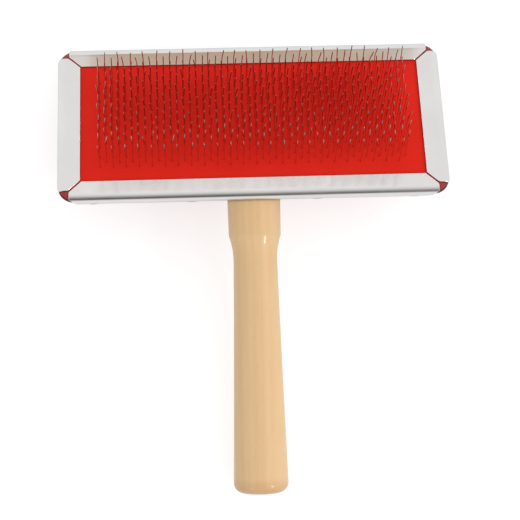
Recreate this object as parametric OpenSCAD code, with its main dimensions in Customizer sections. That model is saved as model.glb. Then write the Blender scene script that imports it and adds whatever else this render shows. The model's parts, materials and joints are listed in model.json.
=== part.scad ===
// Slicker brush: a lacquered wooden board, a rubber-faced pad set with bent wire
// staples, a folded tinplate rim round the pad, and a turned wooden handle that
// stands square on the board's bevelled side.
// Millimetres. The brush lies on its back: the far back edge of the board and the
// handle's butt touch the table. The origin is the middle of the board's flat back.

/* [Head] */
// Width of the head over the rim
head_w = 120; // [100:1:140]
// Height of the head over the rim
head_h = 54.5; // [48:0.1:64]
// Thickness of the wooden board
board_t = 15.5; // [15:0.1:18]
// Angle of the board's sides from square, which is also the handle's angle to the head
side_bevel = 26.5; // [18:0.5:28]
// Corner radius of the board's face
corner_r = 4; // [3:0.5:7]
// Size of the chamfer round the board's back
back_chamfer = 1.5; // [0.5:0.1:2]

/* [Rim] */
// Thickness of the tinplate
sheet_t = 0.3; // [0.2:0.05:0.5]
// Flange width of the two long rails, outer edge to window
long_flange = 6.7; // [5.5:0.05:7.5]
// Flange width of the two end rails, outer edge to window
end_flange = 7.05; // [5.5:0.05:8]
// Radius of the gentle roll before the fold
roll_r = 4; // [3:0.1:5]
// Angle that the gentle roll turns through
roll_angle = 28; // [20:1:34]
// Outer radius of the tight fold over the edge
fold_r = 1.3; // [0.5:0.05:1.3]
// Length of the skirt that lies on the board's side
skirt_l = 6.5; // [5:0.1:8]
// Width of the gap at each mitre
mitre_gap = 0.35; // [0.2:0.05:0.8]
// Distance from the head's corner to the end of a flange
flange_end = 3.6; // [3:0.1:4.5]
// Distance from the head's corner to the end of a skirt
skirt_end = 5.6; // [4.5:0.1:8]

/* [Pad] */
// Thickness of the red rubber facing
facing_t = 0.6; // [0.4:0.1:1]
// Thickness of the cloth that holds the staples
backing_t = 1.0; // [0.8:0.1:1.6]
// Depth of the recess that takes the felt
recess_d = 1.5; // [1.2:0.1:1.8]
// Thickness of the felt cushion
felt_t = 1.0; // [0.6:0.05:1]

/* [Pins] */
// Staples in one row
staples_per_row = 24; // [10:1:27]
// Rows of staples, each with two lines of pins
staple_rows = 10; // [5:1:10]
// Distance between staples in a row
pin_pitch = 3.98; // [3.4:0.02:4]
// Distance between one line of pins and the next
line_pitch = 1.65; // [1.3:0.01:1.7]
// Wire diameter
wire_d = 0.35; // [0.3:0.05:0.5]
// Height of the straight leg over the facing
leg_h = 11.4; // [6:0.1:13]
// Length of the bent tip
tip_l = 4.6; // [3:0.1:7]
// Angle that each tip leans towards the handle
tip_angle = 5; // [2:1:35]

/* [Handle] */
// Length of the handle outside the board
handle_l = 90.6; // [70:0.1:130]
// Diameter of the collar next to the board
collar_d = 16.35; // [14:0.05:17]
// Length of the collar
collar_l = 11.2; // [8:0.1:16]
// Diameter of the neck
neck_d = 13.55; // [11:0.05:14]
// Length of the cove from the collar down to the neck
cove_l = 7.4; // [5:0.1:12]
// Diameter of the butt
butt_d = 16.95; // [15:0.05:22]
// Rounding of the butt's edge
butt_round = 2.9; // [1:0.1:4]
// Distance from the rim's fold to the collar
collar_gap = 0.65; // [0.5:0.05:2]
// Diameter of the spigot that locates the handle in the board
spigot_d = 8; // [6:0.5:9]
// Length of the spigot
spigot_l = 2.5; // [1.5:0.1:3]

/* [Fixings] */
// Shank diameter of the rim tacks
tack_d = 1.1; // [0.9:0.1:1.4]
// Length of a tack under its head
tack_l = 7; // [5:0.5:8]
// Head diameter of the rim tacks
tack_head_d = 2.8; // [2:0.1:3.2]
// Shank diameter of the screw that draws the handle onto the board
screw_d = 3.2; // [2.8:0.1:3.5]
// Length of that screw with its head
screw_l = 34; // [25:0.5:40]
// Head diameter of that screw
screw_head_d = 6.4; // [5.6:0.1:6.4]
// Thickness of board between the handle and the screw's head
screw_seat = 5.4; // [4.5:0.1:5.4]

/* [Hidden] */
$fn = 64;
eps = 0.01;

// Heights above the board's back
facing_z = board_t + backing_t;
pad_top = facing_z + facing_t;
rim_top = pad_top + sheet_t;
recess_floor = board_t - recess_d;
crown_z = board_t - wire_d / 2 - 0.02;
felt_z = recess_floor + 0.02;

// Window of the rim, and the pad that reaches under the flanges
window_w = head_w - 2 * end_flange;
window_h = head_h - 2 * long_flange;
roll_in = roll_r * sin(roll_angle) + fold_r * (1 - sin(roll_angle));
pad_inset = roll_in + 0.6;
pad_clear = 0.2;
pad_w = head_w - 2 * pad_inset;
pad_h = head_h - 2 * pad_inset;
pad_corner = 4;
felt_w = window_w - 1.5;
felt_h = window_h - 1.5;

// Rim section: [u, z], with u = 0 at the head's outermost edge
fold_end = 90 + side_bevel;
fold_u = -roll_in + (roll_r - fold_r) * sin(roll_angle);
fold_z = rim_top - roll_r + (roll_r - fold_r) * cos(roll_angle);
function on_fold(angle, depth) =
    [fold_u + (fold_r - depth) * sin(angle), fold_z + (fold_r - depth) * cos(angle)];
function on_roll(angle, depth) =
    [-roll_in + (roll_r - depth) * sin(angle), rim_top - roll_r + (roll_r - depth) * cos(angle)];
function down_side(point, length) =
    point + length * [-sin(side_bevel), -cos(side_bevel)];
skirt_top = fold_z - fold_r / 2;
function reversed(list) = [for (i = [len(list) - 1:-1:0]) list[i]];
roll_steps = 5;
fold_steps = 10;
function rim_curve(depth) = concat(
    [for (i = [0:roll_steps - 1]) on_roll(i * roll_angle / roll_steps, depth)],
    [for (i = [0:fold_steps])
        on_fold(roll_angle + i * (fold_end - roll_angle) / fold_steps, depth)]);

// Board: its sides lie just inside the rim's skirt
side_gap = 0.05;
side_point = on_fold(fold_end, sheet_t + side_gap);
function side_u(z) = side_point[0] + (z - side_point[1]) * tan(side_bevel);
function board_w(z) = head_w + 2 * side_u(z);
function board_h(z) = head_h + 2 * side_u(z);
back_r = 2.5;
// The board's raised edge round the pad, which the rim is rolled over: [u, z]
edge_depth = sheet_t + side_gap;
board_edge = [on_roll(0, edge_depth), on_fold(roll_angle, edge_depth),
    on_fold((roll_angle + fold_end) / 2, edge_depth), on_fold(fold_end, edge_depth)];

// Handle: the top of its collar starts just under the rim's fold
collar_drop = collar_d / 2 + collar_gap;
seat = down_side(side_point, collar_drop);
seat_y = -(head_h / 2 + seat[0]);
seat_z = seat[1];
flare_start = collar_l + cove_l + 1.5;
socket_clear = 0.05;
screw_hole_d = screw_d + 0.1;
screw_head_h = (screw_head_d - screw_d) / 2;
screw_tip = screw_l - screw_seat - screw_head_h;

// Level at which the brush rests: the board's far back edge and the butt share one plane
rest_edge_y = board_h(0) / 2 - back_chamfer;
butt_edge_l = handle_l - butt_round;
butt_y = seat_y - butt_edge_l * cos(side_bevel) + butt_d / 2 * sin(side_bevel);
butt_z = seat_z - butt_edge_l * sin(side_bevel) - butt_d / 2 * cos(side_bevel);
head_tilt = atan2(-butt_z, rest_edge_y - butt_y);

// Pins: each staple has one leg in a line and one in the next line, half a pitch along
leg_step = [pin_pitch / 2, line_pitch];
field_w = (staples_per_row - 1) * pin_pitch + leg_step[0];
field_h = (2 * staple_rows - 1) * line_pitch;
wire_r = wire_d / 2;
pin_hole_r = wire_r + 0.03;
leg_l = pad_top - crown_z + leg_h;
bend_r = 1.04 * wire_r;

// Tacks along the rails, as places along each rail from its middle
long_tacks = [-0.41, -0.16, 0.16, 0.41];
end_tacks = [-0.22, 0.22];
tack_down = 3.8;
tack_head_h = 0.25;

BOARD_RED = [0.72, 0.07, 0.05];
FACING_RED = [0.80, 0.13, 0.10];
CLOTH = [0.82, 0.78, 0.68];
FELT = [0.86, 0.85, 0.82];
TINPLATE = [0.84, 0.83, 0.82];
STEEL = [0.55, 0.53, 0.50];
BEECH = [0.86, 0.71, 0.50];

// Tilts the head and handle together to the resting position
module resting() {
    rotate([-head_tilt, 0, 0]) children();
}

// Moves a child from its own +Z axis to the handle's axis
module on_handle_axis() {
    translate([0, seat_y, seat_z]) rotate([90 + side_bevel, 0, 0]) children();
}

module rounded_plate(w, h, t, r) {
    linear_extrude(t) hull()
        for (x = [-1, 1], y = [-1, 1])
            translate([x * (w / 2 - r), y * (h / 2 - r)]) circle(r, $fn = 32);
}

// Same outline as rounded_plate, kept exact for plates with holes in them
module rounded_rect(w, h, r) {
    square([w - 2 * r, h], center = true);
    square([w, h - 2 * r], center = true);
    for (x = [-1, 1], y = [-1, 1])
        translate([x * (w / 2 - r), y * (h / 2 - r)]) circle(r);
}

module leg_places(rows) {
    for (row = rows, i = [0:staples_per_row - 1])
        translate([i * pin_pitch - field_w / 2, 2 * row * line_pitch - field_h / 2])
            children();
}

module pin_holes() {
    leg_places([0:staple_rows - 1]) {
        circle(pin_hole_r, $fn = 16);
        translate(leg_step) circle(pin_hole_r, $fn = 16);
    }
}

// Every tack's place: +Z points out of the board's side
module tack_places() {
    place = down_side(on_fold(fold_end, 0), tack_down);
    for (side = [0, 180], at = long_tacks)
        rotate(side) translate([at * head_w, head_h / 2 + place[0], place[1]])
            rotate([-fold_end, 0, 0]) children();
    for (side = [90, 270], at = end_tacks)
        rotate(side) translate([at * head_h, head_w / 2 + place[0], place[1]])
            rotate([-fold_end, 0, 0]) children();
}

module head_board() {
    color(BOARD_RED) resting() difference() {
        hull() {
            for (point = board_edge)
                translate([0, 0, point[1]])
                    rounded_plate(head_w + 2 * point[0], head_h + 2 * point[0], eps, corner_r);
            translate([0, 0, back_chamfer])
                rounded_plate(board_w(back_chamfer), board_h(back_chamfer), eps, back_r + 1);
            rounded_plate(board_w(0) - 2 * back_chamfer, board_h(0) - 2 * back_chamfer,
                eps, back_r);
        }
        translate([0, 0, recess_floor]) linear_extrude(recess_d + 1)
            rounded_rect(felt_w + 0.6, felt_h + 0.6, 3.3);
        translate([0, 0, board_t]) linear_extrude(rim_top)
            rounded_rect(pad_w + 2 * pad_clear, pad_h + 2 * pad_clear, pad_corner + pad_clear);
        on_handle_axis() {
            translate([0, 0, -spigot_l - 0.2])
                cylinder(r = spigot_d / 2 + socket_clear, h = spigot_l + 5);
            translate([0, 0, -screw_seat - 1]) cylinder(d = screw_hole_d, h = screw_seat + 2);
            translate([0, 0, -screw_seat - 30]) cylinder(d = screw_head_d + 0.2, h = 30);
        }
        tack_places() translate([0, 0, -tack_l - 0.4])
            cylinder(d = tack_d + 0.06, h = tack_l + 2);
    }
}

module felt_cushion() {
    color(FELT) resting() translate([0, 0, felt_z])
        linear_extrude(felt_t) rounded_rect(felt_w, felt_h, 3);
}

module pad_layer(z, t) {
    resting() translate([0, 0, z]) linear_extrude(t) difference() {
        rounded_rect(pad_w, pad_h, pad_corner);
        pin_holes();
    }
}

module pad_backing() {
    color(CLOTH) pad_layer(board_t, backing_t);
}

module pad_facing() {
    color(FACING_RED) pad_layer(facing_z, facing_t);
}

// Straight run of wire between two points
module wire(from, to) {
    run = to - from;
    translate(from) rotate([0, acos(run[2] / norm(run)), atan2(run[1], run[0])])
        cylinder(r = wire_r, h = norm(run), $fn = 16);
}

// Wire through a list of points, with a small ball at each bend
module bent_wire(points) {
    for (i = [1:len(points) - 1])
        wire(points[i - 1], points[i]);
    for (i = [1:len(points) - 2])
        translate(points[i]) sphere(r = bend_r, $fn = 16);
}

// Foot, knee and tip of one leg
function leg(foot) = [foot, foot + [0, 0, leg_l],
    foot + [0, -tip_l * sin(tip_angle), leg_l + tip_l * cos(tip_angle)]];

// One staple: two legs joined by a crown that lies under the backing
module staple() {
    bent_wire(concat(reversed(leg([0, 0, 0])), leg([leg_step[0], leg_step[1], 0])));
}

module pin_row(row) {
    color(STEEL) resting() translate([0, 0, crown_z]) leg_places([row]) staple();
}

// One folded rail: its outer side faces +Y, with a mitred flange and square-cut skirt
module rim_rail(length, flange, other_length, other_flange) {
    outer = other_length / 2;
    mitre = atan2(flange, other_flange);
    difference() {
        translate([0, outer, 0]) rotate([90, 0, 90])
            linear_extrude(length - 2 * flange_end, center = true) rim_section(flange);
        for (side = [0, 1]) mirror([side, 0, 0]) {
            translate([length / 2 - other_flange, outer - flange, skirt_top]) rotate(mitre)
                translate([-5, mitre_gap / 2 - 30, 0]) cube([40, 30, 5]);
            translate([length / 2 - skirt_end, outer - 10, skirt_top - 20])
                cube(20);
        }
    }
}

module rim_section(flange) {
    polygon(concat(
        [[-flange, rim_top]],
        rim_curve(0),
        [down_side(on_fold(fold_end, 0), skirt_l)],
        [down_side(on_fold(fold_end, sheet_t), skirt_l)],
        reversed(rim_curve(sheet_t)),
        [[-flange, rim_top - sheet_t]]));
}

module rim_rail_far() {
    color(TINPLATE) resting() difference() {
        rim_rail(head_w, long_flange, head_h, end_flange);
        tack_places() cylinder(d = tack_d + 0.06, h = 3, center = true);
    }
}

module rim_rail_near() {
    color(TINPLATE) resting() difference() {
        rotate(180) rim_rail(head_w, long_flange, head_h, end_flange);
        tack_places() cylinder(d = tack_d + 0.06, h = 3, center = true);
        on_handle_axis() cylinder(d = collar_d + 0.3, h = 6, center = true);
    }
}

module end_rail(turn) {
    color(TINPLATE) resting() difference() {
        rotate(turn) rim_rail(head_h, end_flange, head_w, long_flange);
        tack_places() cylinder(d = tack_d + 0.06, h = 3, center = true);
    }
}

module rim_rail_left() {
    end_rail(90);
}

module rim_rail_right() {
    end_rail(270);
}

module rim_tacks() {
    color(STEEL) resting() tack_places() {
        translate([0, 0, -tack_l]) cylinder(d = tack_d, h = tack_l + tack_head_h / 2);
        translate([0, 0, 0.02]) cylinder(d1 = tack_head_d, d2 = 0.7 * tack_head_d,
            h = tack_head_h);
    }
}

// Turned outline: collar, cove, neck, long flare and rounded butt
cove_steps = 10;
flare_steps = 16;
round_steps = 8;
flare_power = 1.1;
collar_taper = 0.15;
edge_break = 0.3;
function cove_r(u) = neck_d / 2 + (collar_d / 2 - collar_taper - neck_d / 2) * pow(1 - u, 2);
function flare_r(u) = (neck_d + (butt_d - neck_d) * pow(u, flare_power)) / 2;

module handle() {
    color(BEECH) resting() on_handle_axis() difference() {
        rotate_extrude($fn = 96) polygon(concat(
            [[0, -spigot_l], [spigot_d / 2 - edge_break, -spigot_l],
                [spigot_d / 2, edge_break - spigot_l], [spigot_d / 2, 0],
                [collar_d / 2 - edge_break, 0], [collar_d / 2, edge_break]],
            [for (i = [0:cove_steps])
                [cove_r(i / cove_steps), collar_l + cove_l * i / cove_steps]],
            [for (i = [0:flare_steps])
                [flare_r(i / flare_steps),
                    flare_start + (butt_edge_l - flare_start) * i / flare_steps]],
            [for (i = [1:round_steps])
                [butt_d / 2 - butt_round * (1 - cos(90 * i / round_steps)),
                    butt_edge_l + butt_round * sin(90 * i / round_steps)]],
            [[0, handle_l]]));
        translate([0, 0, -spigot_l - 1]) cylinder(d = screw_hole_d, h = screw_tip + spigot_l + 2);
    }
}

// Countersunk wood screw on the handle's axis, with its head under the felt
module handle_screw() {
    color(STEEL) resting() on_handle_axis() translate([0, 0, -screw_seat]) {
        cylinder(d = screw_d, h = screw_seat + screw_tip);
        translate([0, 0, -screw_head_h]) cylinder(d1 = screw_head_d, d2 = screw_d, h = screw_head_h);
    }
}

head_board();
felt_cushion();
pad_backing();
pad_facing();
pin_row(0);  // pin_row_01
pin_row(1);  // pin_row_02
pin_row(2);  // pin_row_03
pin_row(3);  // pin_row_04
pin_row(4);  // pin_row_05
pin_row(5);  // pin_row_06
pin_row(6);  // pin_row_07
pin_row(7);  // pin_row_08
pin_row(8);  // pin_row_09
pin_row(9);  // pin_row_10
rim_rail_far();
rim_rail_near();
rim_rail_left();
rim_rail_right();
rim_tacks();
handle();
handle_screw();
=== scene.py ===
"""Looks of the slicker brush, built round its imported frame.

Shapes are built in millimetres in the head's own axes: x along the head, y away from the
handle, z from the board's flat back towards the pins. REST turns them to the resting position.
"""
import json
import math
import random

import bmesh
import bpy
from mathutils import Matrix, Vector, noise


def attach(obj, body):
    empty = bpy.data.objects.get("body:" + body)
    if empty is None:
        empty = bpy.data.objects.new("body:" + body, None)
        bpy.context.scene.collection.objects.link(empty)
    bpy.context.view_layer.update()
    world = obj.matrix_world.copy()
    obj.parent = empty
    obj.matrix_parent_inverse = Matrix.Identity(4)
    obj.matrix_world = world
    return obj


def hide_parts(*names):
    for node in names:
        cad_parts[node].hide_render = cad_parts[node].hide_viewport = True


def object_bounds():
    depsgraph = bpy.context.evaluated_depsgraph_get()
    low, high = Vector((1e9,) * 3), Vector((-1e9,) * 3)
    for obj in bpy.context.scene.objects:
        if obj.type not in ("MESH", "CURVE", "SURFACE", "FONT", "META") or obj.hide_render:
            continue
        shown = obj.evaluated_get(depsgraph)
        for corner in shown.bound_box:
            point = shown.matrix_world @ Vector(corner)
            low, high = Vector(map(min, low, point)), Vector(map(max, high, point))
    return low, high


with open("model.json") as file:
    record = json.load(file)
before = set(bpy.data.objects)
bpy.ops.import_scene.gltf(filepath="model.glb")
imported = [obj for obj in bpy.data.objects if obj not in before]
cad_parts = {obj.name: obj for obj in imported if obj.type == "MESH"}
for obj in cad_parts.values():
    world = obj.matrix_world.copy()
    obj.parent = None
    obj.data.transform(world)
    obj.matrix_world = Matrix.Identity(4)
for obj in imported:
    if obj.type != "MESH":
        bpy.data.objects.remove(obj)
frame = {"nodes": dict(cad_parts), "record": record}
cad_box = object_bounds()

# ---------------------------------------------------------------- measures from the frame
MM = 0.001
BACK_AXIS = frame["record"]["mounts"][0]["axis"]
HEAD_TILT = math.atan2(-BACK_AXIS[1], -BACK_AXIS[2])
REST = Matrix.Rotation(-HEAD_TILT, 4, "X") @ Matrix.Scale(MM, 4)
TO_HEAD = REST.inverted()


def head_points(node):
    """A CAD node's vertices in the head's axes."""
    return [TO_HEAD @ v.co for v in frame["nodes"][node].data.vertices]


def span(node):
    """Lowest and highest corners of a CAD node in the head's axes."""
    points = head_points(node)
    lo = Vector([min(p[i] for p in points) for i in range(3)])
    hi = Vector([max(p[i] for p in points) for i in range(3)])
    return lo, hi


def turned_axis(node):
    """A point on a turned part's axis, and the axis' direction away from the head."""
    points = head_points(node)
    count = len(points)
    my = sum(p.y for p in points) / count
    mz = sum(p.z for p in points) / count
    yy = sum((p.y - my) ** 2 for p in points)
    zz = sum((p.z - mz) ** 2 for p in points)
    yz = sum((p.y - my) * (p.z - mz) for p in points)
    angle = math.atan2(2 * yz, yy - zz) / 2
    direction = Vector((0, -math.cos(angle), -math.sin(angle)))
    across = Vector((0, -direction.z, direction.y))
    offsets = [p.dot(across) for p in points]
    return across * (min(offsets) + max(offsets)) / 2, direction


FAR_LO, FAR_HI = span("rim_rail_far")
END_LO, END_HI = span("rim_rail_right")
HALF_W, HALF_H = END_HI.x, FAR_HI.y
RIM_TOP = FAR_HI.z
LONG_FLANGE = HALF_H - FAR_LO.y
END_FLANGE = HALF_W - END_LO.x
FLANGE_END = HALF_W - FAR_HI.x
WINDOW = (HALF_W - END_FLANGE, HALF_H - LONG_FLANGE)
HANDLE_POINT, HANDLE_AXIS = turned_axis("handle")
BEVEL = math.atan2(-HANDLE_AXIS.z, -HANDLE_AXIS.y)

# Rim section, as in the frame: a flat flange, a roll, a tight fold and a skirt
SHEET = 0.3
ROLL_R, ROLL_ANGLE, FOLD_R = 4.0, math.radians(28), 1.3
SKIRT, SKIRT_END = 6.5, 5.6
ROLL_IN = ROLL_R * math.sin(ROLL_ANGLE) + FOLD_R * (1 - math.sin(ROLL_ANGLE))
FOLD_U = -ROLL_IN + (ROLL_R - FOLD_R) * math.sin(ROLL_ANGLE)
FOLD_Z = RIM_TOP - ROLL_R + (ROLL_R - FOLD_R) * math.cos(ROLL_ANGLE)
FOLD_END = math.pi / 2 + BEVEL

# Both a little larger than in the frame: the joints between rails, and the board's corners
MITRE_GAP = 0.5
CORNER_R = 5.0


# ---------------------------------------------------------------- mesh helpers
class Shape:
    """Points and faces gathered before they become a mesh."""

    def __init__(self):
        self.points, self.faces, self.tags = [], [], []

    def ring(self, points):
        start = len(self.points)
        self.points += [Vector(p) for p in points]
        return list(range(start, len(self.points)))

    def bridge(self, a, b, closed=True, tag=0):
        count = len(a)
        for i in range(count if closed else count - 1):
            j = (i + 1) % count
            self.faces.append((a[i], a[j], b[j], b[i]))
            self.tags.append(tag)

    def cap(self, ring, tag=0):
        self.faces.append(tuple(ring))
        self.tags.append(tag)

    def loft(self, rings, tags=None):
        """Closed solid through rings of equal length, capped at both ends."""
        rings = [self.ring(r) for r in rings]
        for k in range(1, len(rings)):
            self.bridge(rings[k - 1], rings[k], tag=tags[k - 1] if tags else 0)
        self.cap(rings[0], tags[0] if tags else 0)
        self.cap(rings[-1], tags[-1] if tags else 0)


def make_piece(name, shape, materials, nodes, crease=40):
    """A shape in the head's axes becomes a piece that stands for CAD nodes."""
    mesh = bpy.data.meshes.new(name)
    mesh.from_pydata(shape.points, [], shape.faces)
    mesh.polygons.foreach_set("material_index", shape.tags)
    bm = bmesh.new()
    bm.from_mesh(mesh)
    bmesh.ops.recalc_face_normals(bm, faces=bm.faces)
    bm.to_mesh(mesh)
    bm.free()
    mesh.transform(REST)
    for material in materials:
        mesh.materials.append(material)
    mesh.shade_smooth()
    mesh.set_sharp_from_angle(angle=math.radians(crease))
    piece = bpy.data.objects.new(name, mesh)
    bpy.context.scene.collection.objects.link(piece)
    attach(piece, "root")
    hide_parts(*nodes)
    return piece


def smooth(x):
    x = min(1.0, max(0.0, x))
    return x * x * (3 - 2 * x)


def rounded_outline(half_x, half_y, radius, steps=10, straight=(30, 12)):
    """Points round a rectangle with arcs at its corners, anticlockwise from the right side."""
    outline = []
    for quarter, (sx, sy) in enumerate(((1, 1), (-1, 1), (-1, -1), (1, -1))):
        cx, cy = sx * (half_x - radius), sy * (half_y - radius)
        for i in range(steps + 1):
            a = math.pi / 2 * (quarter + i / steps)
            outline.append((cx + radius * math.cos(a), cy + radius * math.sin(a)))
        count = straight[quarter % 2]
        x0, y0 = outline[-1]
        x1, y1 = (-x0, y0) if quarter % 2 == 0 else (x0, -y0)
        outline += [
            (x0 + (x1 - x0) * i / count, y0 + (y1 - y0) * i / count) for i in range(1, count)
        ]
    return outline


# ---------------------------------------------------------------- node helpers
class Graph:
    """A node tree built with short calls."""

    def __init__(self, tree):
        self.tree = tree
        tree.nodes.clear()

    def put(self, socket, value):
        if isinstance(value, bpy.types.NodeSocket):
            self.tree.links.new(value, socket)
        elif value is not None:
            socket.default_value = value

    def node(self, kind, inputs=None, **settings):
        made = self.tree.nodes.new("ShaderNode" + kind)
        for key, value in settings.items():
            setattr(made, key, value)
        for key, value in (inputs or {}).items():
            self.put(made.inputs[key], value)
        return made

    def math(self, operation, a, b=0.0, c=0.0):
        return self.node("Math", {0: a, 1: b, 2: c}, operation=operation).outputs[0]

    def coords(self, turn=0.0, stretch=(1, 1, 1)):
        """Object coordinates in millimetres, turned about X and stretched."""
        place = self.node("TexCoord").outputs["Object"]
        turned = self.node("Mapping", {0: place, "Rotation": (turn, 0, 0), "Scale": (1 / MM,) * 3})
        return self.node("Mapping", {0: turned.outputs[0], "Scale": stretch}).outputs[0]

    def noise(self, vector, scale, detail=2.0, roughness=0.5, distortion=0.0):
        return self.node(
            "TexNoise",
            {
                "Vector": vector,
                "Scale": scale,
                "Detail": detail,
                "Roughness": roughness,
                "Distortion": distortion,
            },
        ).outputs[0]

    def ramp(self, value, *stops):
        made = self.node("ValToRGB", {0: value})
        band = made.color_ramp
        while len(band.elements) < len(stops):
            band.elements.new(0.5)
        for element, (place, colour) in zip(band.elements, stops):
            element.position = place
            grey = isinstance(colour, (int, float))
            element.color = (colour,) * 3 + (1,) if grey else tuple(colour) + (1,)
        return made.outputs[0]

    def mix(self, share, a, b, blend="MIX"):
        made = self.node("Mix", data_type="RGBA", blend_type=blend)
        self.put(made.inputs[0], share)
        self.put(made.inputs[6], as_colour(a))
        self.put(made.inputs[7], as_colour(b))
        return made.outputs[2]

    def painted_crevice_shade(self, colour, dark, reach, clear=0.8):
        """A colour with painted shade: it goes dark where other surfaces stand close."""
        shade = self.node("AmbientOcclusion", {"Distance": reach * MM}, samples=8)
        return self.mix(self.ramp(shade.outputs["AO"], (clear - 0.5, 1.0), (clear, 0.0)), colour, dark)

    def bump(self, height, distance, strength=1.0, base=None):
        return self.node(
            "Bump", {"Height": height, "Distance": distance * MM, "Strength": strength, "Normal": base}
        ).outputs[0]

    def surface(self, **inputs):
        named = {key.replace("_", " "): as_colour(value) for key, value in inputs.items()}
        shader = self.node("BsdfPrincipled", named)
        out = self.node("OutputMaterial")
        self.put(out.inputs[0], shader.outputs[0])


def as_colour(value):
    return tuple(value) + (1,) if isinstance(value, tuple) and len(value) == 3 else value


def new_material(name):
    material = bpy.data.materials.new(name)
    material.use_nodes = True
    return material, Graph(material.node_tree)


# ---------------------------------------------------------------- materials
def tinplate(roughness):
    material, g = new_material("tinplate")
    flat = g.coords(HEAD_TILT)
    cloud = g.noise(flat, 0.09, 3)
    smear = g.noise(g.coords(HEAD_TILT, (0.25, 0.25, 1)), 0.8, 4, 0.6)
    fine = g.noise(g.coords(HEAD_TILT, (0.5, 6, 6)), 2.2, 3, 0.6)
    colour = g.ramp(cloud, (0.3, (0.715, 0.71, 0.705)), (0.7, (0.755, 0.75, 0.745)))
    rough = g.ramp(smear, (0.3, roughness * 0.9), (0.75, roughness * 1.15))
    relief = g.bump(fine, 0.0015, 0.35)
    g.surface(Base_Color=colour, Metallic=1.0, Roughness=rough, Normal=relief)
    return material


def red_lacquer():
    material, g = new_material("red_lacquered_wood")
    grain = g.noise(g.coords(HEAD_TILT, (0.05, 0.9, 0.9)), 1.0, 4, 0.6, 0.4)
    peel = g.noise(g.coords(HEAD_TILT), 0.7, 2)
    colour = g.ramp(grain, (0.3, (0.29, 0.009, 0.007)), (0.7, (0.38, 0.012, 0.009)))
    # Painted shade: the lacquer goes near black where other surfaces stand close, as in the gaps at the
    # rim's mitres.
    colour = g.painted_crevice_shade(colour, (0.03, 0.003, 0.003), 0.8, 0.95)
    # Painted shade and painted dark reflection: the rounded edge, tilted between the pins' face and the
    # sides, is painted near black by its normal's direction. The coat is thinner there too.
    up = (0, math.sin(HEAD_TILT), math.cos(HEAD_TILT))
    normal = g.node("NewGeometry").outputs["Normal"]
    facing = g.node("VectorMath", {0: normal, 1: up}, operation="DOT_PRODUCT")
    rounded = g.ramp(facing.outputs["Value"], (0.0, 0.0), (0.1, 1.0), (0.7, 1.0), (0.84, 0.0))
    colour = g.mix(rounded, colour, (0.03, 0.004, 0.004))
    relief = g.bump(peel, 0.03, 0.4, g.bump(grain, 0.05, 0.5))
    g.surface(
        Base_Color=colour,
        Roughness=0.38,
        Specular_IOR_Level=0.3,
        Normal=g.bump(grain, 0.08, 0.6),
        Coat_Weight=g.math("MULTIPLY_ADD", rounded, -0.4, 0.5),
        Coat_Roughness=0.07,
        Coat_Normal=relief,
    )
    return material


def red_rubber():
    material, g = new_material("red_rubber")
    flat = g.coords(HEAD_TILT)
    cloud = g.noise(flat, 0.05, 3)
    speck = g.noise(flat, 2.4, 4, 0.65)
    weave = g.noise(g.coords(HEAD_TILT, (1, 0.35, 1)), 1.6, 2)
    base = g.ramp(cloud, (0.3, (0.70, 0.014, 0.006)), (0.7, (0.76, 0.019, 0.008)))
    colour = g.mix(g.ramp(speck, (0.4, 0.0), (0.75, 0.25)), base, (0.60, 0.009, 0.006))
    # Painted shade: the rubber goes dark where other surfaces stand close, along the rim's edges and
    # round the pins.
    colour = g.painted_crevice_shade(colour, (0.10, 0.004, 0.003), 0.7)
    relief = g.bump(speck, 0.03, 0.6, g.bump(weave, 0.05, 0.5))
    g.surface(
        Base_Color=colour,
        Roughness=g.ramp(speck, (0.3, 0.5), (0.7, 0.62)),
        Specular_IOR_Level=0.1,
        Normal=relief,
    )
    return material


def drawn_wire():
    material, g = new_material("pin_wire")
    along = g.coords(HEAD_TILT, (9, 9, 1.2))
    streak = g.noise(along, 1.0, 3, 0.6)
    leg = g.ramp(streak, (0.3, (0.72, 0.63, 0.59)), (0.7, (0.80, 0.72, 0.69)))
    point = g.ramp(streak, (0.3, (0.36, 0.30, 0.28)), (0.7, (0.44, 0.38, 0.36)))
    # Painted shade: above the knee the wire takes the darker point colour, standing for the dark depth
    # between the pins that the points reflect.
    height = g.node("SeparateXYZ", {0: g.coords(HEAD_TILT)}).outputs[2]
    above = g.math("SUBTRACT", height, span("pin_row_01")[1].z - TIP - 1.2)
    g.surface(
        Base_Color=g.mix(g.ramp(above, (0.0, 0.0), (1.0, 1.0)), leg, point),
        Metallic=1.0,
        Roughness=g.ramp(streak, (0.3, 0.06), (0.7, 0.11)),
        Normal=g.bump(streak, 0.004, 0.3),
    )
    return material


def plain_steel(name, colour, roughness):
    material, g = new_material(name)
    speck = g.noise(g.coords(HEAD_TILT), 3.0, 3, 0.6)
    dark = tuple(0.8 * c for c in colour)
    g.surface(
        Base_Color=g.ramp(speck, (0.3, dark), (0.7, colour)),
        Metallic=1.0,
        Roughness=g.ramp(speck, (0.3, roughness * 0.8), (0.7, roughness * 1.3)),
        Normal=g.bump(speck, 0.02, 0.4),
    )
    return material


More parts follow.
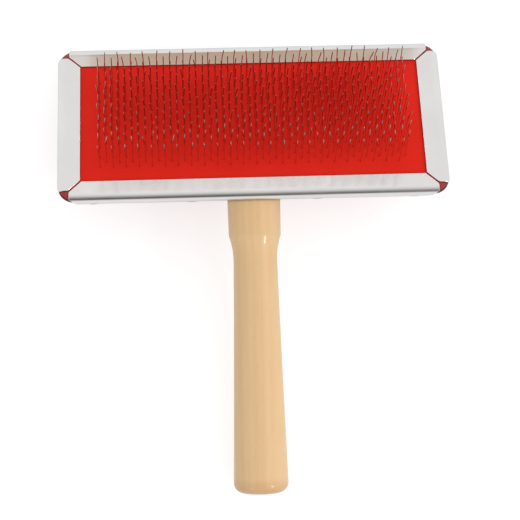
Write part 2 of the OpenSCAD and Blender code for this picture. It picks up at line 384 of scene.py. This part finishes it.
def beech():
    """Lacquered beech, its grain along the handle."""
    material, g = new_material("lacquered_beech")
    turn = math.pi / 2 - (BEVEL - HEAD_TILT)
    place = g.coords(turn)
    ring_place = g.node("Mapping", {0: place, "Location": (38, 9, 0), "Scale": (1, 1, 0.045)}).outputs[0]
    warp = g.noise(ring_place, 0.16, 2, 0.5)
    bent = g.node("VectorMath", {0: ring_place, 1: warp}, operation="ADD").outputs[0]
    rings = g.node(
        "TexWave",
        {"Vector": bent, "Scale": 0.13, "Distortion": 2.2, "Detail": 3.0, "Detail Scale": 0.7},
        wave_type="RINGS",
        rings_direction="Z",
    ).outputs[1]
    fibre = g.noise(g.coords(turn, (3.2, 3.2, 0.09)), 1.0, 5, 0.62)
    fleck = g.noise(g.coords(turn, (4.2, 4.2, 0.42)), 1.0, 2, 0.5)
    broad = g.noise(g.coords(turn, (0.12, 0.12, 0.02)), 1.0, 2)
    base = g.mix(g.ramp(rings, (0.2, 0.0), (0.9, 0.32)), (0.705, 0.455, 0.222), (0.64, 0.39, 0.175))
    base = g.mix(g.ramp(broad, (0.35, 0.0), (0.7, 0.5)), base, (0.77, 0.53, 0.285))
    base = g.mix(g.ramp(fibre, (0.5, 0.0), (0.75, 0.3)), base, (0.55, 0.325, 0.14))
    base = g.mix(g.ramp(fleck, (0.66, 0.0), (0.74, 0.3)), base, (0.48, 0.265, 0.11))
    # Darker within a few millimetres of the butt end: partly the end grain's own tone, partly painted
    # shade on the rounding that turns away from the light.
    end = Matrix.Rotation(turn, 3, "X") @ (REST @ (HANDLE_POINT + HANDLE_AXIS * handle_profile()[-1][0]))
    along = g.node("SeparateXYZ", {0: place}).outputs[2]
    from_end = g.math("ABSOLUTE", g.math("SUBTRACT", along, end.z / MM))
    near_end = g.ramp(g.math("DIVIDE", from_end, 10.0), (0.02, 0.7), (0.5, 0.0))
    base = g.mix(near_end, base, (0.48, 0.25, 0.10))
    # The base colour gets painted shade where other surfaces stand close, such as at the collar against
    # the board.
    g.surface(
        Base_Color=g.painted_crevice_shade(base, (0.22, 0.11, 0.05), 1.2),
        Roughness=0.46,
        Normal=g.bump(fibre, 0.03, 0.4),
        Coat_Weight=0.4,
        Coat_Roughness=0.12,
        Coat_Normal=g.bump(g.noise(place, 0.35, 2), 0.05, 0.35),
    )
    return material


def felt():
    material, g = new_material("white_felt")
    fibres = g.noise(g.coords(HEAD_TILT), 3.5, 5, 0.75, 1.2)
    g.surface(
        Base_Color=g.ramp(fibres, (0.3, (0.62, 0.60, 0.55)), (0.7, (0.82, 0.81, 0.77))),
        Roughness=0.95,
        Sheen_Weight=0.4,
        Normal=g.bump(fibres, 0.2, 0.8),
    )
    return material


def cotton():
    """Plain weave: two crossed sets of threads."""
    material, g = new_material("cotton_cloth")
    place = g.coords(HEAD_TILT)
    warp = g.node("TexWave", {"Vector": place, "Scale": 0.8}, bands_direction="X").outputs[1]
    weft = g.node("TexWave", {"Vector": place, "Scale": 0.8}, bands_direction="Y").outputs[1]
    weave = g.math("MAXIMUM", warp, weft)
    g.surface(
        Base_Color=g.ramp(weave, (0.3, (0.48, 0.42, 0.30)), (0.9, (0.74, 0.70, 0.57))),
        Roughness=0.9,
        Sheen_Weight=0.2,
        Normal=g.bump(weave, 0.12, 0.8),
    )
    return material


# ---------------------------------------------------------------- rim
SHEET_EASE = 0.05
LONG_WAVE, SHORT_WAVE = 0.055, 0.008
END_LIFT = 0.15


def rim_section(flange, lift):
    """Mid-line of the folded sheet: (outward, up, angle of the outer face, half thickness)."""
    half = SHEET / 2
    edge = -flange + SHEET_EASE
    section = [(-flange, RIM_TOP - half, 0.0, half * 0.7)]
    steps = 7
    section += [
        (edge + (-ROLL_IN - edge) * i / steps, RIM_TOP - half, 0.0, half) for i in range(steps)
    ]
    section = [(u, z + lift * (-ROLL_IN - u) / (flange - ROLL_IN), a, h) for u, z, a, h in section]
    for i in range(9):
        a = ROLL_ANGLE * i / 9
        reach = ROLL_R - half
        section.append(
            (-ROLL_IN + reach * math.sin(a), RIM_TOP - ROLL_R + reach * math.cos(a), a, half)
        )
    for i in range(13):
        a = ROLL_ANGLE + (FOLD_END - ROLL_ANGLE) * i / 12
        reach = FOLD_R - half
        section.append((FOLD_U + reach * math.sin(a), FOLD_Z + reach * math.cos(a), a, half))
    u, z = section[-1][:2]
    for i in range(1, 7):
        way = SKIRT * i / 6
        section.append((u - way * math.sin(BEVEL), z - way * math.cos(BEVEL), FOLD_END, half))
    u, z = section[-1][:2]
    end = (u - SHEET_EASE * math.sin(BEVEL), z - SHEET_EASE * math.cos(BEVEL))
    section.append((*end, FOLD_END, half * 0.7))
    return section


def rail(name, tin, half_length, half_other, flange, other_flange, turn, seed, lift):
    """One folded rail with mitred flange ends, along one side of the head."""
    mitre = math.atan2(flange, other_flange)
    gap = MITRE_GAP / 2 / math.sin(mitre)

    def reach(u, angle):
        along = half_length - other_flange + (u + flange) * other_flange / flange - gap
        flange_reach = min(along, half_length - FLANGE_END)
        share = smooth((angle - ROLL_ANGLE * 0.6) / (FOLD_END - ROLL_ANGLE * 0.6))
        return flange_reach + (half_length - SKIRT_END - flange_reach) * share

    def wave(x, u):
        long_wave = noise.noise(Vector((x / 17, u / 14, seed)))
        short_wave = noise.noise(Vector((x / 5.5, u / 6, seed + 9.3)))
        return LONG_WAVE * long_wave + SHORT_WAVE * short_wave

    section = rim_section(flange, lift)
    spin = Matrix.Rotation(turn, 4, "Z")
    count = max(24, int(half_length * 1.2))
    shape = Shape()
    rings = []
    for k in range(-count - 1, count + 2):
        at_end = abs(k) > count
        side = -1 if k < 0 else 1
        outer, inner = [], []
        for u, z, angle, half in section:
            limit = reach(u, angle)
            x = side * limit if at_end else k / count * (limit - 0.1)
            thick = half * (0.45 if at_end else 1.0)
            push = wave(x, u)
            normal = Vector((0, math.sin(angle), math.cos(angle)))
            middle = Vector((x, half_other + u, z)) + normal * push
            outer.append(spin @ (middle + normal * thick))
            inner.append(spin @ (middle - normal * thick))
        rings.append(shape.ring(outer + inner[::-1]))
    for k in range(1, len(rings)):
        shape.bridge(rings[k - 1], rings[k])
    total = len(section)
    for ring in (rings[0], rings[-1]):
        for i in range(total - 1):
            shape.cap((ring[i], ring[i + 1], ring[2 * total - 2 - i], ring[2 * total - 1 - i]))
    return make_piece(name, shape, [tin], [name], crease=35)


def cut(piece, shape):
    """Takes a closed shape out of a piece."""
    mesh = bpy.data.meshes.new("cutter")
    mesh.from_pydata(shape.points, [], shape.faces)
    mesh.transform(REST)
    bm = bmesh.new()
    bm.from_mesh(mesh)
    bmesh.ops.recalc_face_normals(bm, faces=bm.faces)
    bm.to_mesh(mesh)
    bm.free()
    cutter = bpy.data.objects.new("cutter", mesh)
    bpy.context.scene.collection.objects.link(cutter)
    modifier = piece.modifiers.new("cut", "BOOLEAN")
    modifier.operation = "DIFFERENCE"
    modifier.solver = "EXACT"
    modifier.object = cutter
    bpy.context.view_layer.update()
    evaluated = piece.evaluated_get(bpy.context.evaluated_depsgraph_get())
    result = bpy.data.meshes.new_from_object(evaluated)
    piece.modifiers.clear()
    piece.data = result
    result.set_sharp_from_angle(angle=math.radians(35))
    bpy.data.objects.remove(cutter)


def turned(shape, profile, place, direction, sides):
    """Lathes a profile of (along, radius) about an axis."""
    side = Vector((1, 0, 0))
    other = direction.cross(side)
    rings = []
    for along, radius in profile:
        centre = place + direction * along
        rings.append(
            [
                centre
                + radius
                * (side * math.cos(2 * math.pi * i / sides) + other * math.sin(2 * math.pi * i / sides))
                for i in range(sides)
            ]
        )
    shape.loft(rings)


def rim():
    bright, worn = tinplate(0.09), tinplate(0.22)
    rail("rim_rail_far", bright, HALF_W, HALF_H, LONG_FLANGE, END_FLANGE, 0, 1.7, 0.0)
    near = rail("rim_rail_near", worn, HALF_W, HALF_H, LONG_FLANGE, END_FLANGE, math.pi, 5.2, 0.0)
    rail("rim_rail_left", worn, HALF_H, HALF_W, END_FLANGE, LONG_FLANGE, math.pi / 2, 8.9, END_LIFT)
    rail("rim_rail_right", worn, HALF_H, HALF_W, END_FLANGE, LONG_FLANGE, -math.pi / 2, 12.4, END_LIFT)
    seat, collar = handle_seat()
    notch = Shape()
    turned(notch, [(-3, collar + 0.15), (3, collar + 0.15)], seat, HANDLE_AXIS, 64)
    cut(near, notch)


# ---------------------------------------------------------------- board
def edge_profile(depth):
    """The raised edge under the rim's roll and fold: (outward, up), from the side to the top."""
    profile = []
    for i in range(13):
        a = FOLD_END + (ROLL_ANGLE - FOLD_END) * i / 12
        reach = FOLD_R - depth
        profile.append((FOLD_U + reach * math.sin(a), FOLD_Z + reach * math.cos(a)))
    for i in range(1, 9):
        a = ROLL_ANGLE * (1 - i / 8)
        reach = ROLL_R - depth
        profile.append((-ROLL_IN + reach * math.sin(a), RIM_TOP - ROLL_R + reach * math.cos(a)))
    return profile


def head_board():
    """Bevelled board with a raised edge round the pad, and the recess for the felt."""
    felt_lo, felt_hi = span("felt_cushion")
    pad_lo, pad_hi = span("pad_backing")
    profile = edge_profile(SHEET + 0.04)
    side_u, side_z = profile[0]
    slope = math.tan(BEVEL)

    def level(u, z, radius):
        return [(x, y, z) for x, y in rounded_outline(HALF_W + u, HALF_H + u, radius, 14)]

    rings = []
    ease = 1.5
    for i in range(7):
        a = math.pi / 2 * i / 6
        z = ease * (1 - math.cos(a))
        rings.append(level(side_u - (side_z - z) * slope - ease * (1 - math.sin(a)), z, 2.5 + 0.1 * i))
    for i in range(1, 9):
        z = ease + (side_z - ease) * i / 9
        rings.append(level(side_u - (side_z - z) * slope, z, 3.2 + 1.7 * i / 9))
    rings += [level(u, z, CORNER_R) for u, z in profile]
    pockets = (
        (pad_hi.x + 0.2, pad_hi.y + 0.2, 4.2, (profile[-1][1], pad_lo.z - 0.02)),
        (felt_hi.x + 0.3, felt_hi.y + 0.3, 3.3, (pad_lo.z - 0.02, felt_lo.z - 0.02)),
    )
    for half_x, half_y, radius, heights in pockets:
        for z in heights:
            rings.append([(x, y, z) for x, y in rounded_outline(half_x, half_y, radius, 14)])
    shape = Shape()
    shape.loft(rings)
    board = make_piece("head_board", shape, [LACQUER], ["head_board"], 30)
    seat, _ = handle_seat()
    socket = Shape()
    turned(socket, [(-2.7, 4.05), (3, 4.05)], seat, HANDLE_AXIS, 48)
    cut(board, socket)


# ---------------------------------------------------------------- pad
def sheet(half_x, half_y, radius, z_low, height, step):
    """Closed sheet with rounded corners: flat below, height(x, y) above."""
    nx, ny = max(2, round(2 * half_x / step)), max(2, round(2 * half_y / step))

    def place(i, j):
        x, y = -half_x + 2 * half_x * i / nx, -half_y + 2 * half_y * j / ny
        dx, dy = abs(x) - half_x + radius, abs(y) - half_y + radius
        if dx > 0 and dy > 0:
            shrink = max(dx, dy) / math.hypot(dx, dy)
            x = math.copysign(half_x - radius + dx * shrink, x)
            y = math.copysign(half_y - radius + dy * shrink, y)
        return x, y

    shape = Shape()
    layers = []
    for top in (False, True):
        rows = []
        for j in range(ny + 1):
            line = [place(i, j) for i in range(nx + 1)]
            rows.append(shape.ring([(x, y, height(x, y) if top else z_low) for x, y in line]))
        for j in range(ny):
            shape.bridge(rows[j], rows[j + 1], closed=False)
        layers.append(rows)
    low, high = layers
    for j in (0, ny):
        shape.bridge(low[j], high[j], closed=False)
    for i in (0, nx):
        shape.bridge([r[i] for r in low], [r[i] for r in high], closed=False)
    return shape


CROWN, RIM_DIP, RIPPLE = 0.22, 0.16, 0.05
PUCKER, PIN_DENT = 0.09, 0.22


def pad_layers():
    """Rubber facing with a low crown, puckered where the pins come through, on cloth and felt."""
    lo, hi = span("pad_facing")
    holes = [foot for row in PIN_FEET for pair in row for foot in pair]
    near_holes = {}
    for x, y in holes:
        for ix in (-1, 0, 1):
            for iy in (-1, 0, 1):
                near_holes.setdefault((round(x) + ix, round(y) + iy), []).append((x, y))

    def facing_top(x, y):
        inside = min(WINDOW[0] - abs(x), WINDOW[1] - abs(y))
        by_rim = smooth((inside + 1.2) / 0.9) * (1 - smooth((inside - 0.3) / 2.2))
        rise = CROWN * smooth(inside / 9) - RIM_DIP * by_rim
        ripple = RIPPLE * noise.noise(Vector((x / 9, y / 7, 3.1)))
        pucker = 0.0
        for hx, hy in near_holes.get((round(x), round(y)), ()):
            distance = math.hypot(x - hx, y - hy)
            pucker += PUCKER * math.exp(-((distance / 0.75) ** 2))
            pucker -= PIN_DENT * math.exp(-((distance / 0.3) ** 2))
        return hi.z + rise + (ripple + pucker) * smooth(inside / 3)

    facing = sheet(hi.x, hi.y, 4, lo.z, facing_top, 0.42)
    make_piece("pad_facing", facing, [RUBBER], ["pad_facing"], 60)

    lo, hi = span("pad_backing")
    backing = sheet(hi.x, hi.y, 4, lo.z, lambda x, y: hi.z, 1.5)
    make_piece("pad_backing", backing, [cotton()], ["pad_backing"], 60)

    felt_lo, felt_hi = span("felt_cushion")

    def felt_top(x, y):
        edge = min(felt_hi.x - abs(x), felt_hi.y - abs(y))
        return felt_hi.z - 0.25 * (1 - smooth(edge / 1.2)) - 0.05 * abs(noise.noise(Vector((x, y, 0))))

    cushion = sheet(felt_hi.x, felt_hi.y, 3, felt_lo.z, felt_top, 0.8)
    make_piece("felt_cushion", cushion, [felt()], ["felt_cushion"], 60)


# ---------------------------------------------------------------- pins
STAPLE_ROWS, STAPLES = 10, 24
WIRE_R, BEND_BALL = 0.155, 0.182
TIP, TIP_LEAN = 4.6, math.radians(5)
LEG_SCATTER, TIP_SCATTER = (0.013, 0.01), (0.055, 0.04)
FIRST_LINE_LEAN = 0.07


def pin_feet():
    """Feet of every staple, by row: ((x, y), (x, y))."""
    spans = [span(f"pin_row_{n:02d}") for n in range(1, STAPLE_ROWS + 1)]
    line = (spans[1][1].y - spans[0][1].y) / 2
    left, right = spans[0][0].x + BEND_BALL, spans[0][1].x - BEND_BALL
    pitch = (right - left) / (STAPLES - 0.5)
    rows = []
    for _, hi in spans:
        y = hi.y - BEND_BALL
        xs = [left + pitch * i for i in range(STAPLES)]
        rows.append([((x, y - line), (x + pitch / 2, y)) for x in xs])
    return rows


PIN_FEET = pin_feet()


def bend(corner, before, after, size, steps=4):
    """Points of a soft bend at a corner, from the side of before to that of after."""
    a = corner + (before - corner).normalized() * size
    b = corner + (after - corner).normalized() * size
    points = []
    for i in range(steps + 1):
        t = i / steps
        points.append(a * (1 - t) ** 2 + corner * 2 * t * (1 - t) + b * t * t)
    return points


def tube(shape, points, radius, sides=8):
    """Round wire through points, with its ends eased."""
    first, last = points[1] - points[0], points[-2] - points[-1]
    points = (
        [points[0], points[0] + first.normalized() * 0.05]
        + points[1:-1]
        + [points[-1] + last.normalized() * 0.05, points[-1]]
    )
    rings = []
    side = None
    for k, point in enumerate(points):
        ahead = points[min(k + 1, len(points) - 1)] - points[max(k - 1, 0)]
        ahead.normalize()
        if side is None:
            side = ahead.orthogonal().normalized()
        side = (side - ahead * side.dot(ahead)).normalized()
        other = ahead.cross(side)
        r = radius * (0.8 if k in (0, len(points) - 1) else 1.0)
        ring = []
        for i in range(sides):
            a = 2 * math.pi * i / sides
            ring.append(point + r * (side * math.cos(a) + other * math.sin(a)))
        rings.append(ring)
    shape.loft(rings, [1] + [0] * (len(rings) - 3) + [1])


def pin_rows():
    _, pad_hi = span("pad_facing")
    dice = random.Random(62)
    for row in range(STAPLE_ROWS):
        name = f"pin_row_{row + 1:02d}"
        lo, hi = span(name)
        crown_z = lo.z + BEND_BALL
        knee_z = hi.z - TIP * math.cos(TIP_LEAN) - WIRE_R * math.sin(TIP_LEAN)
        shape = Shape()
        for pair in PIN_FEET[row]:
            legs = []
            for side, (x, y) in enumerate(pair):
                foot = Vector((x, y, crown_z))
                exit_point = Vector((x, y, pad_hi.z + 0.1))
                rise = knee_z - exit_point.z + dice.gauss(0, 0.2)
                lean_x, lean_y = (dice.gauss(0, spread) for spread in LEG_SCATTER)
                if row == 0 and side == 0:
                    lean_y -= FIRST_LINE_LEAN
                knee = exit_point + Vector((lean_x, lean_y, 1)) * rise
                tip_x = lean_x + dice.gauss(0, TIP_SCATTER[0])
                tip_y = lean_y - math.tan(TIP_LEAN) + dice.gauss(0, TIP_SCATTER[1])
                tip_run = Vector((tip_x, tip_y, 1)).normalized()
                tip = knee + tip_run * (TIP + dice.gauss(0, 0.12))
                legs.append((foot, exit_point, knee, tip))
            (foot_a, exit_a, knee_a, tip_a), (foot_b, exit_b, knee_b, tip_b) = legs
            path = [tip_a]
            path += bend(knee_a, tip_a, exit_a, 0.5)
            path += [exit_a]
            path += bend(foot_a, exit_a, foot_b, 0.45)
            path += bend(foot_b, foot_a, exit_b, 0.45)
            path += [exit_b]
            path += bend(knee_b, exit_b, tip_b, 0.5)
            path += [tip_b]
            tube(shape, path, WIRE_R)
        make_piece(name, shape, [WIRE, WIRE_END], [name], 50)


# ---------------------------------------------------------------- handle
def handle_profile():
    """The turned outline as (along, radius), read off the frame's handle."""
    rings = {}
    for p in head_points("handle"):
        offset = p - HANDLE_POINT
        along = offset.dot(HANDLE_AXIS)
        radius = (offset - HANDLE_AXIS * along).length
        if radius > 2.5:
            rings.setdefault(round(along, 2), set()).add(round(radius, 2))
    return sorted((along, max(radii)) for along, radii in rings.items())


def handle_seat():
    """Centre of the collar's face, and the collar's radius there."""
    profile = handle_profile()
    step = next(i for i in range(1, len(profile)) if profile[i][1] > profile[i - 1][1] + 2)
    return HANDLE_POINT + HANDLE_AXIS * profile[step][0], profile[step + 1][1]


def fill_in(profile, step):
    """Extra points along a smooth curve through a profile."""
    filled = []
    for k in range(len(profile) - 1):
        p0, p1 = profile[max(k - 1, 0)], profile[k]
        p2, p3 = profile[k + 1], profile[min(k + 2, len(profile) - 1)]
        length = math.hypot(p2[0] - p1[0], p2[1] - p1[1])
        count = max(1, round(length / step))
        sharp = length < 0.6
        for i in range(count):
            t = i / count
            if sharp:
                filled.append((p1[0] + (p2[0] - p1[0]) * t, p1[1] + (p2[1] - p1[1]) * t))
                continue
            point = []
            for a, b, c, d in zip(p0, p1, p2, p3):
                point.append(
                    b + (c - a) * t / 2 + (2 * a - 5 * b + 4 * c - d) * t * t / 2
                    + (3 * b - a - 3 * c + d) * t**3 / 2
                )
            filled.append(tuple(point))
    return filled + [profile[-1]]


def handle():
    profile = handle_profile()
    seat, collar = handle_seat()
    start = (seat - HANDLE_POINT).dot(HANDLE_AXIS)
    body = [(a, r) for a, r in profile if a > start + 0.05]
    spigot = [(a, r) for a, r in profile if a < start - 0.05]
    ease = body[0][0] - start
    eased = [(start + ease * (1 - math.cos(t)), collar - ease * (1 - math.sin(t)))
             for t in (0, 0.4, 0.8, 1.2)]
    end, face = profile[-1]
    butt = [(end, face), (end, face * 0.7), (end, face * 0.35), (end - 0.02, 1.2), (end - 0.5, 0.5)]
    outline = spigot + [(start, spigot[-1][1])] + eased + fill_in(body, 0.7)[:-1] + butt
    shape = Shape()
    turned(shape, outline, HANDLE_POINT, HANDLE_AXIS, 96)
    make_piece("handle", shape, [beech()], ["handle"], 38)


# ---------------------------------------------------------------- fixings
def islands(node):
    """The separate solids of a CAD node, each as its vertices in the head's axes."""
    bm = bmesh.new()
    bm.from_mesh(frame["nodes"][node].data)
    bmesh.ops.remove_doubles(bm, verts=bm.verts, dist=1e-6)
    left = set(bm.verts)
    groups = []
    while left:
        stack = [next(v for v in bm.verts if v in left)]
        left.discard(stack[0])
        group = []
        while stack:
            v = stack.pop()
            group.append(TO_HEAD @ v.co)
            for edge in v.link_edges:
                other = edge.other_vert(v)
                if other in left:
                    left.discard(other)
                    stack.append(other)
        groups.append(group)
    bm.free()
    return groups


TACK_HEAD, TACK_DOME = 0.25, 0.13


def tacks():
    """Low-domed tacks through the rim's skirt."""
    shape = Shape()
    for group in islands("rim_tacks"):
        centre = sum(group, Vector()) / len(group)
        if abs(centre.x) > HALF_W - 10:
            side = Vector((math.copysign(1, centre.x), 0, 0))
        else:
            side = Vector((0, math.copysign(1, centre.y), 0))
        out = (side * math.cos(BEVEL) - Vector((0, 0, 1)) * math.sin(BEVEL)).normalized()
        along = [p.dot(out) for p in group]
        middle = centre - out * centre.dot(out)
        low, high = min(along), max(along)
        head_r = max((p - out * p.dot(out) - middle).length for p in group)
        seat = high - TACK_HEAD
        profile = [(low, 0.08), (low + 1.2, 0.5), (seat - 0.02, 0.55), (seat, head_r)]
        for i in range(1, 7):
            a = math.pi / 2 * i / 6
            profile.append((seat + TACK_DOME * math.sin(a), head_r * math.cos(a) + 0.02))
        axis_side = out.orthogonal().normalized()
        other = out.cross(axis_side)
        rings = []
        for at, radius in profile:
            ring = []
            for i in range(20):
                a = 2 * math.pi * i / 20
                ring.append(
                    middle + out * at + radius * (axis_side * math.cos(a) + other * math.sin(a))
                )
            rings.append(ring)
        shape.loft(rings)
    make_piece("rim_tacks", shape, [plain_steel("tack_steel", (0.6, 0.59, 0.58), 0.25)],
               ["rim_tacks"], 40)


def dress_frame_nodes():
    """Materials for the CAD nodes that stay."""
    screw = frame["nodes"]["handle_screw"]
    screw.data.materials.clear()
    screw.data.materials.append(plain_steel("screw_steel", (0.64, 0.62, 0.56), 0.3))


# ---------------------------------------------------------------- stage, camera and light
CAMERA_LEAN = math.radians(26.239)
CAMERA_YAW = math.radians(2.778)
CAMERA_ROLL = math.radians(2.756)
CAMERA_SHIFT = Vector((-3.118, 35.949, -562.73))
SENSOR, LENS = 36, 122.24146


def add_camera():
    """The photograph's view, set out from the head's axes."""
    turn = (
        Matrix.Rotation(CAMERA_ROLL, 4, "Z")
        @ Matrix.Rotation(-CAMERA_LEAN, 4, "X")
        @ Matrix.Rotation(CAMERA_YAW, 4, "Y")
        @ Matrix.Rotation(HEAD_TILT, 4, "X")
    )
    data = bpy.data.cameras.new("camera")
    data.sensor_width = SENSOR
    data.lens = LENS
    data.clip_start, data.clip_end = 0.01, 20
    camera = bpy.data.objects.new("camera", data)
    bpy.context.scene.collection.objects.link(camera)
    camera.matrix_world = (Matrix.Translation(CAMERA_SHIFT * MM) @ turn).inverted()
    bpy.context.scene.camera = camera
    return camera


def add_floor():
    lo, _ = cad_box
    bm = bmesh.new()
    bmesh.ops.create_grid(bm, x_segments=8, y_segments=8, size=6)
    mesh = bpy.data.meshes.new("floor")
    bm.to_mesh(mesh)
    bm.free()
    floor = bpy.data.objects.new("floor", mesh)
    floor.location = (0, 0, lo.z - 0.0002)
    bpy.context.scene.collection.objects.link(floor)
    material, g = new_material("floor")
    speck = g.noise(g.node("TexCoord").outputs["Object"], 3.0, 2)
    colour = g.ramp(speck, (0.3, 0.42), (0.7, 0.44))
    seen = g.node("LightPath").outputs["Is Camera Ray"]
    glow = g.math("MULTIPLY_ADD", seen, 0.16, 0.5)
    g.surface(Base_Color=colour, Roughness=0.9, Emission_Color=(1.0, 1.0, 1.0), Emission_Strength=glow)
    mesh.materials.append(material)


def add_light(name, place, size, power, colour=(1, 1, 1)):
    data = bpy.data.lights.new(name, "AREA")
    data.shape = "DISK"
    data.size = size
    data.energy = power
    data.color = colour
    light = bpy.data.objects.new(name, data)
    light.location = place
    light.rotation_mode = "QUATERNION"
    light.rotation_quaternion = (-Vector(place)).to_track_quat("-Z", "Y")
    bpy.context.scene.collection.objects.link(light)


# Degrees: the card's middle and half size, as seen from the head
CARD_FORWARD, CARD_HIGH = 54.2, 4.9
CARD_ACROSS, CARD_WIDE = 1.88, 5.37


def add_studio(camera):
    """Pale surround, brighter to the right and overhead. Metal also sees a dim patch behind the
    camera, a warm card beyond the head and a bright band below the card."""
    world = bpy.data.worlds.new("studio")
    bpy.context.scene.world = world
    world.use_nodes = True
    g = Graph(world.node_tree)
    way = g.node("TexCoord").outputs["Generated"]
    back = camera.matrix_world.translation.normalized()
    toward = g.node("VectorMath", {0: way, 1: tuple(back)}, operation="DOT_PRODUCT").outputs["Value"]
    from_camera = g.math("DEGREES", g.math("ARCCOSINE", toward))
    shine = g.ramp(
        g.math("DIVIDE", from_camera, 90.0),
        (0.0, (0.032, 0.022, 0.017)),
        (0.09, (0.115, 0.09, 0.078)),
        (0.18, (0.34, 0.31, 0.29)),
        (0.29, 0.68),
        (0.42, 0.93),
        (0.6, 1.0),
    )
    split = g.node("SeparateXYZ", {0: way}).outputs
    forward = g.math("DEGREES", g.math("ARCTAN2", split[1], split[2]))
    across = g.math("DEGREES", g.math("ARCSINE", split[0]))

    def off_card(angle, middle, half):
        share = g.math("DIVIDE", g.math("SUBTRACT", angle, middle), half)
        return g.math("POWER", g.math("ABSOLUTE", share), 3.0)

    high = off_card(forward, CARD_FORWARD, CARD_HIGH)
    wide = off_card(across, CARD_ACROSS, CARD_WIDE)
    card = g.ramp(g.math("ADD", high, wide), (0.94, 1.0), (1.0, 0.0))
    level = g.math("DIVIDE", forward, 90.0)
    below = g.ramp(level, (0.46, 0.0), (0.49, 1.0), (0.56, 1.0), (0.58, 0.0))
    spill = g.math("MULTIPLY", below, g.ramp(wide, (0.6, 1.0), (1.0, 0.0)))
    studio = g.mix(spill, shine, (1.31, 1.24, 1.25))
    studio = g.mix(card, studio, (0.61, 0.445, 0.32))
    glow = g.math("MULTIPLY_ADD", split[0], 0.4, g.math("MULTIPLY_ADD", split[2], 0.65, 0.54))
    path = g.node("LightPath").outputs
    lamp = g.mix(path["Is Glossy Ray"], glow, studio)
    seen = g.mix(path["Is Camera Ray"], lamp, (1.0, 1.0, 1.0))
    g.put(g.node("OutputWorld").inputs[0], g.node("Background", {0: seen, 1: 1.0}).outputs[0])
    world.cycles.sampling_method = "NONE"
    add_light("key", (0.55, -0.45, 0.45), 0.12, 0.8)
    add_light("fill", (-0.5, -0.6, 0.35), 0.12, 0.5)


# ---------------------------------------------------------------- build
LACQUER, RUBBER, WIRE = red_lacquer(), red_rubber(), drawn_wire()
WIRE_END = plain_steel("pin_cut_end", (0.26, 0.18, 0.16), 0.5)
rim()
head_board()
pad_layers()
pin_rows()
handle()
tacks()
dress_frame_nodes()
add_floor()
add_studio(add_camera())
bpy.context.scene.view_settings.view_transform = "Standard"
